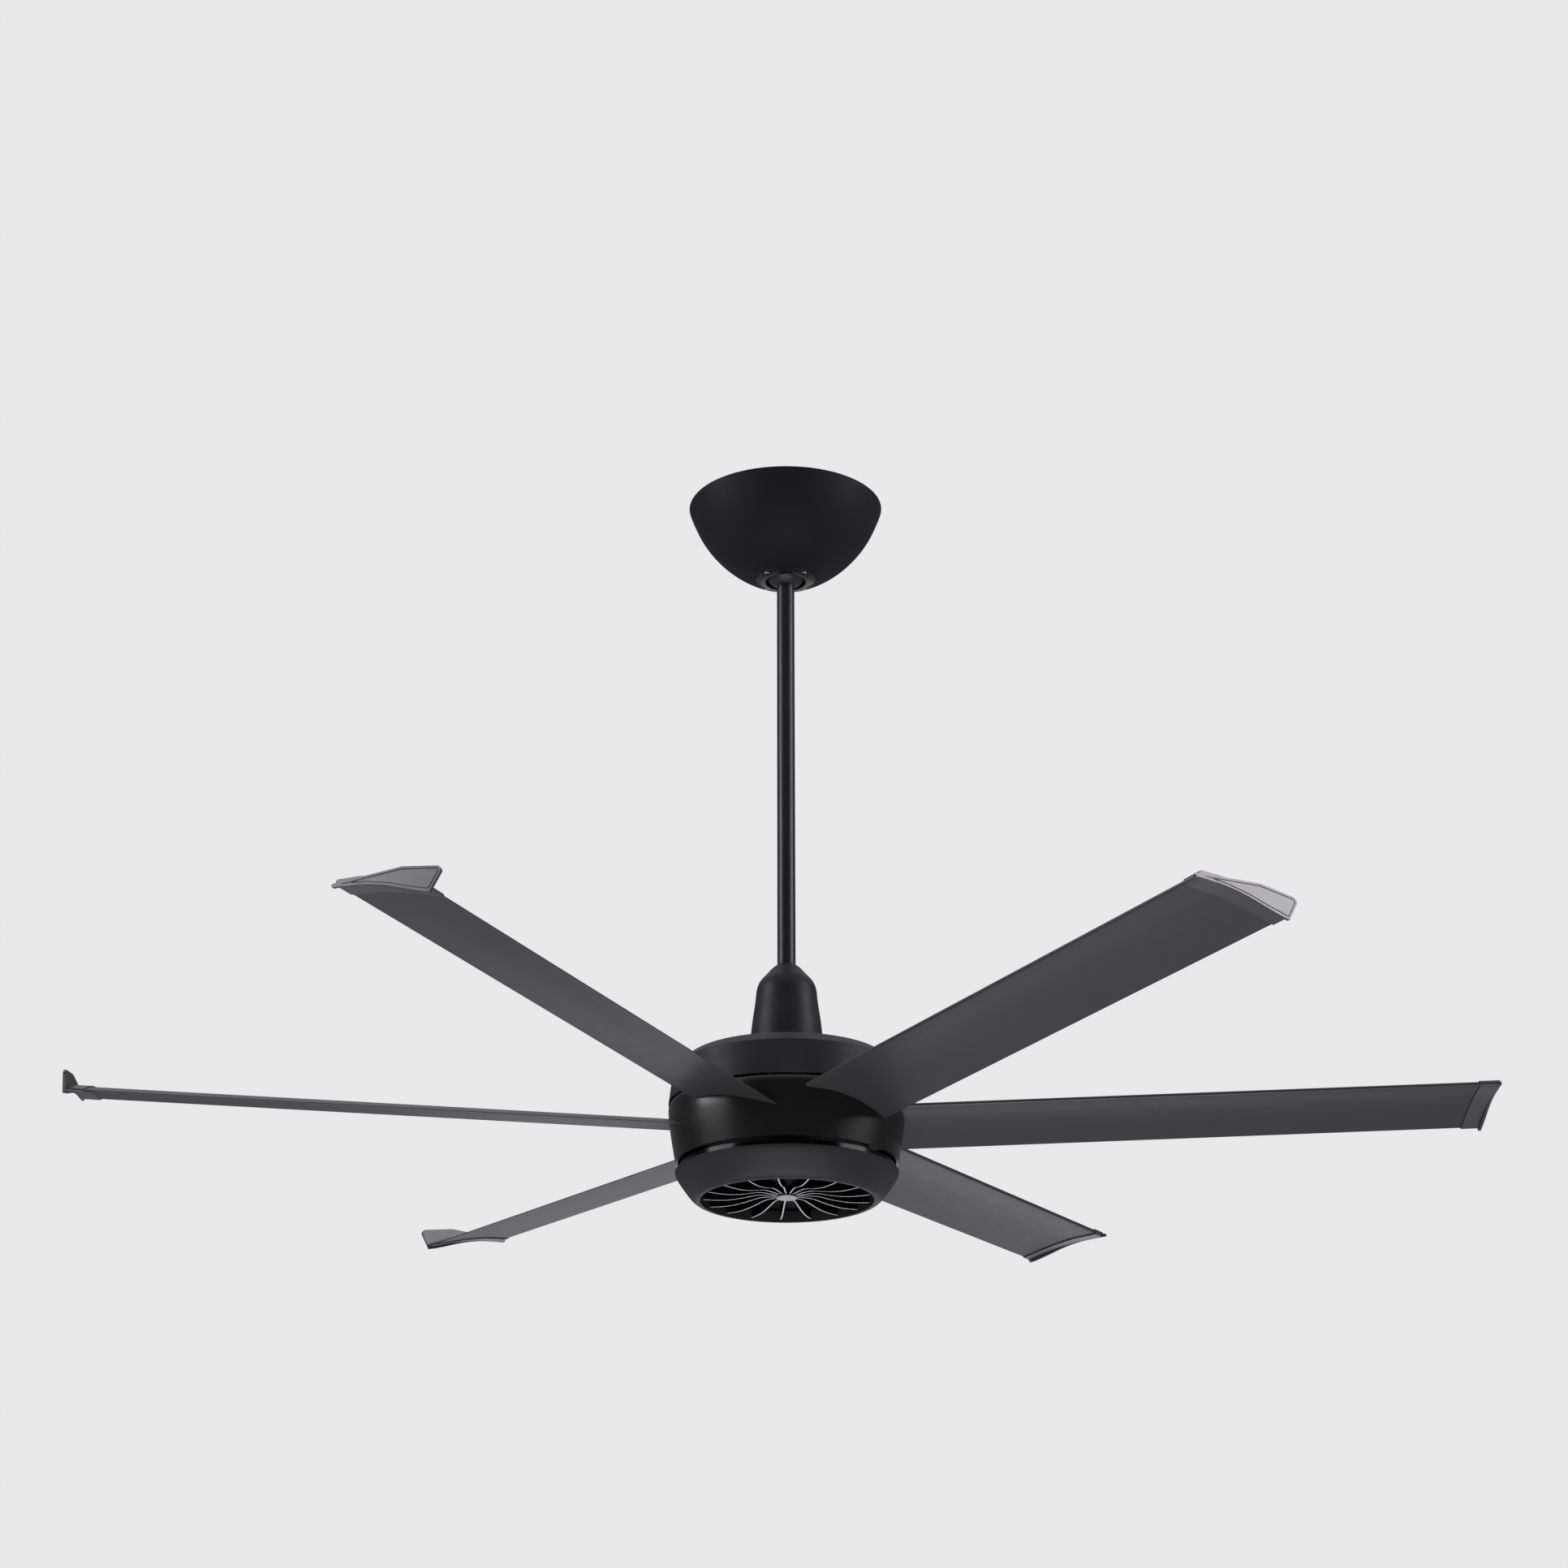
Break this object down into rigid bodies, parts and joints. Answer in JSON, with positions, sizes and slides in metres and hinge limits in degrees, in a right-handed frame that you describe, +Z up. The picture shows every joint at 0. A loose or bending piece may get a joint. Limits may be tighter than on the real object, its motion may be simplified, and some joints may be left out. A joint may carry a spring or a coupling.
{
  "type": "ceiling fan",
  "caption": "Ceiling fan on a downrod with a bowl canopy, tapered shroud, round motor hub with ribbed bottom grille, and pitched airfoil blades that end in upswept winglets.",
  "frame": {"origin": "centre of the ceiling bracket's four holes, in the ceiling plane on the bracket's top face", "axes": "+Z up into the ceiling along the downrod, -Y towards the camera of the picture, +X to its right"},
  "size_m": [1.5266, 1.405, 0.8177],
  "materials": {
    "satin_black_paint": "satin black powder coat on steel",
    "painted_aluminium": "satin black powder coat on aluminium",
    "blade_black_paint": "matte black anodised extrusion",
    "winglet_plastic": "satin dark grey moulding",
    "gloss_black": "glossy black",
    "zinc_steel": "zinc plated",
    "nylon": "moulded nylon",
    "cast_metal": "as cast",
    "lamination_steel": "stacked sheet edges",
    "copper_wire": "enamelled copper",
    "magnet": "nickel plated",
    "bearing_steel": "polished",
    "board": "solder mask green",
    "grille_grey": "satin grey",
    "backing_black": "matte black"
  },
  "bodies": {
    "ceiling_mount": {"ceiling_bracket": "zinc_steel", "ball_seat": "cast_metal", "seat_screws": "zinc_steel", "seat_liner": "nylon", "canopy": "painted_aluminium", "canopy_trim_ring": "painted_aluminium", "canopy_screws": "zinc_steel"},
    "swivel_pins": {"swivel_pins": "zinc_steel"},
    "hanging_motor": {"hanger_ball": "nylon", "ball_cross_pin": "zinc_steel", "ball_set_screw": "zinc_steel", "downrod": "satin_black_paint", "motor_yoke": "cast_metal", "yoke_bolt": "zinc_steel", "yoke_nut": "zinc_steel", "yoke_set_screws": "zinc_steel", "shroud": "painted_aluminium", "upper_cover": "painted_aluminium", "cover_screws": "zinc_steel", "motor_shaft": "zinc_steel", "stator_core": "lamination_steel", "stator_windings": "copper_wire", "inner_races": "bearing_steel", "support_plate": "cast_metal", "shaft_nut": "zinc_steel", "gloss_ring": "gloss_black", "lower_bowl": "painted_aluminium", "bowl_screws": "zinc_steel", "driver_board": "board", "board_screws": "zinc_steel", "grille_backing": "backing_black", "backing_screws": "zinc_steel", "grille": "grille_grey", "grille_button": "grille_grey", "grille_nut": "zinc_steel"},
    "bearing_set": {"bearing_balls": "bearing_steel", "bearing_cages": "nylon"},
    "rotor": {"rotor_frame": "cast_metal", "rotor_end_plate": "cast_metal", "end_plate_screws": "zinc_steel", "back_iron_ring": "lamination_steel", "rotor_magnets": "magnet", "outer_races": "bearing_steel", "rotor_shell": "painted_aluminium", "shell_screws": "zinc_steel", "blade_clamps": "cast_metal", "blade_screws": "zinc_steel", "airfoil_1": "blade_black_paint", "airfoil_2": "blade_black_paint", "airfoil_3": "blade_black_paint", "airfoil_4": "blade_black_paint", "airfoil_5": "blade_black_paint", "airfoil_6": "blade_black_paint", "winglet_1": "winglet_plastic", "winglet_2": "winglet_plastic", "winglet_3": "winglet_plastic", "winglet_4": "winglet_plastic", "winglet_5": "winglet_plastic", "winglet_6": "winglet_plastic"}
  },
  "joints": [
    {"name": "tilt_about_x", "type": "hinge", "parent": "ceiling_mount", "child": "swivel_pins", "pos_m": [0, 0, -0.074], "axis": [1, 0, 0], "range_deg": [-15, 15]},
    {"name": "tilt_about_y", "type": "hinge", "parent": "swivel_pins", "child": "hanging_motor", "pos_m": [0, 0, -0.074], "axis": [0, 1, 0], "range_deg": [-15, 15]},
    {"name": "fan_spin", "type": "hinge", "parent": "hanging_motor", "child": "rotor", "pos_m": [0, 0, -0.742], "axis": [0, 0, 1], "continuous": true},
    {"name": "bearing_roll", "type": "hinge", "parent": "hanging_motor", "child": "bearing_set", "pos_m": [0, 0, -0.742], "axis": [0, 0, 1], "continuous": true}
  ],
  "couplings": [
    {"joint": "bearing_roll", "follows": "fan_spin", "ratio": 0.6065}
  ]
}
